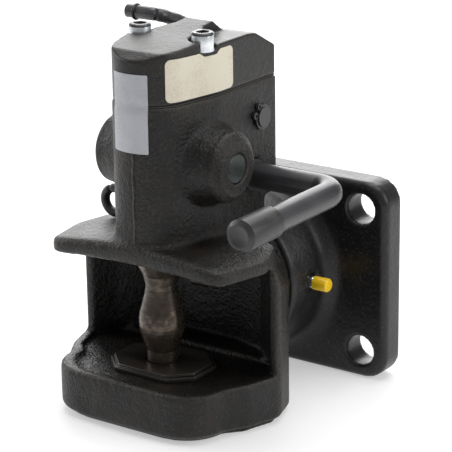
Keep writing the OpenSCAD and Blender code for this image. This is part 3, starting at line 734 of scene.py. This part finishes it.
@dataclass
class JawBody(Assembly):
    """The jaw, its tower and what is fixed to them."""

    finishes: dict[Slot, bpy.types.Material]
    voxel_mm: float = 1.35
    rounds: int = 5
    most_faces: int = 196000
    cover_voxel_mm: float = 0.9
    cover_rounds: int = 10
    cover_most_faces: int = 120000
    seam_place_mm: Triple = (2.0, -162.7, 80.0)
    seam_width_mm: float = 1.5
    seam_height_mm: float = 62.0
    seam_cells: int = 40
    thread_radius_mm: float = 22.5
    thread_pitch_mm: float = 3.0
    thread_turns: int = 15
    thread_tooth_mm: float = 1.3
    skin: bpy.types.Object | None = None
    cover_skin: bpy.types.Object | None = None
    body = Body.BODY

    def build(self) -> None:
        """Makes the castings, the labels and the seam, and dresses the rest."""
        lip = SoftZone(Vector((0.0, -0.135, 0.043)), 2.5, Vector((0.125, 0.095, 0.017)))
        chin = SoftZone(Vector((0.0, -0.178, -0.056)), 2.5, Vector((0.130, 0.050, 0.032)))
        bosses = [
            SoftZone(Vector((side * 0.0335, -0.1175, 0.098)), 0.9, Vector((0.007, 0.047, 0.047)))
            for side in (-1.0, 1.0)
        ]
        self.skin = casting("coupling_body", "jaw_casting", self.voxel_mm, self.rounds,
                            [lip, chin, *bosses], self.most_faces)
        self.place(self.skin, Slot.CAST_BODY, "coupling_body")
        self.cover_skin = casting("cover", "cover_casting", self.cover_voxel_mm, self.cover_rounds,
                                  [], self.cover_most_faces)
        self.place(self.cover_skin, Slot.COVER, "cover")
        self.add_labels()
        self.add_seam()
        self.add_thread()
        for node, slot in (
            ("swivel_seal", Slot.RUBBER), ("pin_guide_bush", Slot.BRONZE),
            ("lever_bush_right", Slot.SPRING), ("lever_bush_left", Slot.SPRING),
            ("trigger_pin", Slot.BARE), ("cover_gasket", Slot.GASKET),
            ("split_pin", Slot.ZINC), ("lower_pin_bush", Slot.BARE),
        ):
            self.dress_node(node, slot)
        hook = copy_of_node("cable_hook", "hook_forging")
        modify(hook, "REMESH", mode="VOXEL", voxel_size=VOXEL_HOOK_MM * MM, use_smooth_shade=True)
        modify(hook, "SMOOTH", factor=0.5, iterations=4)
        self.place(hook, Slot.LEVER, "cable_hook")
        for node, slot, width_mm in (
            ("wear_plate", Slot.PLATE, 0.7), ("bore_plug_right", Slot.PLUG, 0.4),
            ("bore_plug_left", Slot.PLUG, 0.4), ("castle_nut", Slot.BARE, 0.6),
            ("thrust_washer", Slot.BARE, 0.5), ("cover_screws", Slot.ZINC, 0.5),
        ):
            self.soften(node, slot, width_mm)

    def add_labels(self) -> None:
        """Lays two bare labels, one across the joint at the front and one on the cover's side."""
        wall, lid = self.skin.copy(), self.cover_skin.copy()
        for made in (wall, lid):
            made.data = made.data.copy()
            bpy.context.scene.collection.objects.link(made)
        pick(wall)
        lid.select_set(True)
        bpy.ops.object.join()
        modify(wall, "REMESH", mode="VOXEL", voxel_size=VOXEL_LABEL_WALL_MM * MM)
        modify(wall, "SMOOTH", factor=0.5, iterations=4)
        silver = BlankLabel("silver_label", (0.40, 0.41, 0.44), (0.27, 0.27, 0.28), 0.40, 0.3).build()
        cream = BlankLabel("cream_label", (0.66, 0.61, 0.50), (0.47, 0.41, 0.31), 0.50).build()
        front = Sticker("front_label", (-0.2, -166.0, 136.8), 3.0, 26.0, 50.0, 0.6)
        side = Sticker("side_label", (32.5, -125.0, 157.2), 81.0, 58.0, 27.0, 3.4)
        for sticker, look in ((front, silver), (side, cream)):
            piece = sticker.build(wall)
            self.place(piece, Slot.COVER, look=look)
        bpy.data.objects.remove(wall)

    def add_seam(self) -> None:
        """Raises the mould's parting seam down the front of the tower."""
        deselect()
        bpy.ops.mesh.primitive_cube_add(size=1.0, location=Vector(self.seam_place_mm) * MM)
        seam = bpy.context.object
        seam.name = "casting_seam"
        seam.scale = Vector((self.seam_width_mm, self.seam_width_mm, self.seam_height_mm)) * MM
        settle(seam)
        modify(seam, "BEVEL", width=0.5 * MM, segments=3)
        pick(seam)
        bpy.ops.object.mode_set(mode="EDIT")
        foot = self.seam_place_mm[2] - self.seam_height_mm / 2.0
        for n in range(1, self.seam_cells):
            cut = (foot + n * self.seam_height_mm / self.seam_cells) * MM
            bpy.ops.mesh.select_all(action="SELECT")
            bpy.ops.mesh.bisect(plane_co=(0.0, 0.0, cut), plane_no=(0.0, 0.0, 1.0))
        bpy.ops.object.mode_set(mode="OBJECT")
        for vertex in seam.data.vertices:
            along = vertex.co.z / MM
            vertex.co.x += (0.25 * math.sin(along * 0.31) + 0.12 * math.sin(along * 1.3)) * MM
            vertex.co.y += 0.14 * math.sin(along * 0.9 + 1.0) * MM
        bpy.ops.object.shade_smooth()
        self.place(seam, Slot.CAST_BODY)

    def add_thread(self) -> None:
        """Winds the thread on the tail shaft."""
        deselect()
        start = ((self.thread_radius_mm + 0.1) * MM, self.thread_pitch_mm * MM, 0.0)
        bpy.ops.mesh.primitive_circle_add(vertices=3, radius=self.thread_tooth_mm * MM,
                                          fill_type="NOTHING", location=start)
        thread = bpy.context.object
        thread.name = "tail_thread"
        settle(thread)
        modify(thread, "SCREW", axis="Y", angle=math.tau, screw_offset=self.thread_pitch_mm * MM,
               iterations=self.thread_turns - 1, steps=48, render_steps=48,
               use_merge_vertices=False)
        pick(thread)
        bpy.ops.object.mode_set(mode="EDIT")
        bpy.ops.mesh.select_all(action="SELECT")
        bpy.ops.mesh.remove_doubles(threshold=0.001 * MM)
        bpy.ops.mesh.fill_holes(sides=4)
        bpy.ops.mesh.select_all(action="SELECT")
        bpy.ops.mesh.normals_make_consistent(inside=False)
        bpy.ops.object.mode_set(mode="OBJECT")
        bpy.ops.object.shade_smooth_by_angle(angle=math.radians(30.0))
        self.place(thread, Slot.CAST_BODY)


@dataclass
class CouplingPin(Assembly):
    """The crowned pin and its carrier."""

    finishes: dict[Slot, bpy.types.Material]
    body = Body.PIN

    def build(self) -> None:
        """Dresses the pin and the parts that lift it."""
        for node, slot in (
            ("coupling_pin", Slot.PIN), ("pin_carrier", Slot.BARE), ("carrier_ring", Slot.SPRING),
        ):
            self.dress_node(node, slot)


@dataclass
class HandLever(Assembly):
    """The bent lever bar and the parts on its shaft."""

    finishes: dict[Slot, bpy.types.Material]
    body = Body.LEVER

    def build(self) -> None:
        """Dresses the bar and breaks the cap's edges."""
        for node, slot in (
            ("hand_lever", Slot.LEVER), ("lift_arm", Slot.BARE), ("arm_cross_pin", Slot.BARE),
            ("torsion_spring", Slot.SPRING), ("lever_circlip", Slot.SPRING),
        ):
            self.dress_node(node, slot)
        self.soften("lever_cap", Slot.RUBBER, 2.5)


@dataclass
class Latch(Assembly):
    """The latch shaft with the remote lever."""

    finishes: dict[Slot, bpy.types.Material]
    body = Body.LATCH

    def build(self) -> None:
        """Dresses the shaft and its lever."""
        for node, slot in (
            ("latch_circlip", Slot.SPRING), ("lock_pawl", Slot.BARE), ("pawl_cross_pin", Slot.BARE),
            ("remote_lever", Slot.LEVER), ("cable_clip", Slot.SPRING),
        ):
            self.dress_node(node, slot)
        self.soften("latch_shaft", Slot.LEVER, 0.5)


@dataclass
class Trigger(Assembly):
    """The lever that a drawbar eye pushes."""

    finishes: dict[Slot, bpy.types.Material]
    body = Body.TRIGGER

    def build(self) -> None:
        """Breaks the trigger's edges."""
        self.soften("trigger_lever", Slot.PLATE, 0.5)


@dataclass(frozen=True)
class Studio:
    """Pale floor, soft light and the camera."""

    azimuth_deg: float = 35.17
    elevation_deg: float = 18.22
    roll_deg: float = -0.81
    distance: float = 1.4138
    aside: Vector = field(default_factory=lambda: Vector((-0.02381, 0.02325)))
    aim: Vector = field(default_factory=lambda: Vector((0.0, -0.020, 0.0)))
    lens: float = 163.3
    fill: float = 0.34
    floor_size: float = 30.0
    floor_drop_mm: float = 0.05
    floor_glow: float = 0.42

    def add_camera(self) -> None:
        """Sets the camera at its place."""
        turn, lift, roll = (math.radians(a) for a in (self.azimuth_deg, self.elevation_deg, self.roll_deg))
        ahead = Vector((-math.sin(turn) * math.cos(lift), math.cos(turn) * math.cos(lift),
                        -math.sin(lift)))
        level = Vector((math.cos(turn), math.sin(turn), 0.0))
        upright = level.cross(ahead)
        right = level * math.cos(roll) + upright * math.sin(roll)
        up = upright * math.cos(roll) - level * math.sin(roll)
        data = bpy.data.cameras.new("camera")
        data.lens = self.lens
        data.sensor_width = 36.0
        data.clip_start = 0.01
        camera = bpy.data.objects.new("camera", data)
        bpy.context.scene.collection.objects.link(camera)
        turned = Matrix((right, up, -ahead)).transposed().to_4x4()
        spot = self.aim + right * self.aside.x + up * self.aside.y - ahead * self.distance
        camera.matrix_world = Matrix.Translation(spot) @ turned
        bpy.context.scene.camera = camera

    def add_floor(self) -> None:
        """Lays a large pale floor under the coupling."""
        deselect()
        level = cad_bounds[0][2] - self.floor_drop_mm * MM
        bpy.ops.mesh.primitive_plane_add(size=self.floor_size, location=(0.0, 0.0, level))
        floor = bpy.context.object
        floor.name = "floor"
        shader = Shader("floor")
        tone = shader.blend(shader.noise(6.0, 2.0), (0.60, 0.60, 0.60), (0.63, 0.63, 0.63))
        floor.data.materials.append(shader.feed(
            Base_Color=tone, Roughness=0.9, Emission_Color=(1.0, 1.0, 1.0),
            Emission_Strength=self.floor_glow))

    def add_light(self, name: str, spot: Vector, size: float, power: float) -> None:
        """Hangs a square soft light that faces the coupling.

        Args:
            name: its name.
            spot: where it hangs.
            size: its side in metres.
            power: its power in watts.
        """
        data = bpy.data.lights.new(name, "AREA")
        data.size = size
        data.energy = power
        lamp = bpy.data.objects.new(name, data)
        bpy.context.scene.collection.objects.link(lamp)
        lamp.location = spot
        lamp.visible_camera = False
        lamp.rotation_euler = (LIGHT_TARGET - spot).to_track_quat("-Z", "Y").to_euler()

    def build(self) -> None:
        """Sets up the whole studio."""
        self.add_camera()
        self.add_floor()
        world = bpy.data.worlds.new("studio")
        world.use_nodes = True
        sky = world.node_tree.nodes["Background"]
        sky.inputs["Color"].default_value = (1.0, 1.0, 1.0, 1.0)
        seen = world.node_tree.nodes.new("ShaderNodeLightPath")
        level = world.node_tree.nodes.new("ShaderNodeMapRange")
        level.inputs["To Min"].default_value = self.fill
        level.inputs["To Max"].default_value = 1.0
        world.node_tree.links.new(seen.outputs["Is Camera Ray"], level.inputs["Value"])
        world.node_tree.links.new(level.outputs["Result"], sky.inputs["Strength"])
        bpy.context.scene.world = world
        self.add_light("overhead", Vector((0.0, 0.15, 1.3)), 1.2, 16.0)
        self.add_light("rear_panel", Vector((-1.0, 1.5, 0.85)), 1.8, 40.0)
        self.add_light("left_side", Vector((-1.4, -0.3, 0.6)), 0.8, 8.0)
        self.add_light("right_side", Vector((1.4, 0.2, 0.7)), 0.8, 8.0)
        bpy.context.scene.view_settings.view_transform = "Standard"


def main() -> None:
    """Builds the studio and every sub-assembly."""
    Studio().build()
    finishes = {slot: finish.build() for slot, finish in FINISHES.items()}
    for assembly in (FlangeBearing, JawBody, CouplingPin, HandLever, Latch, Trigger):
        assembly(finishes).build()


if __name__ == "__main__":
    main()
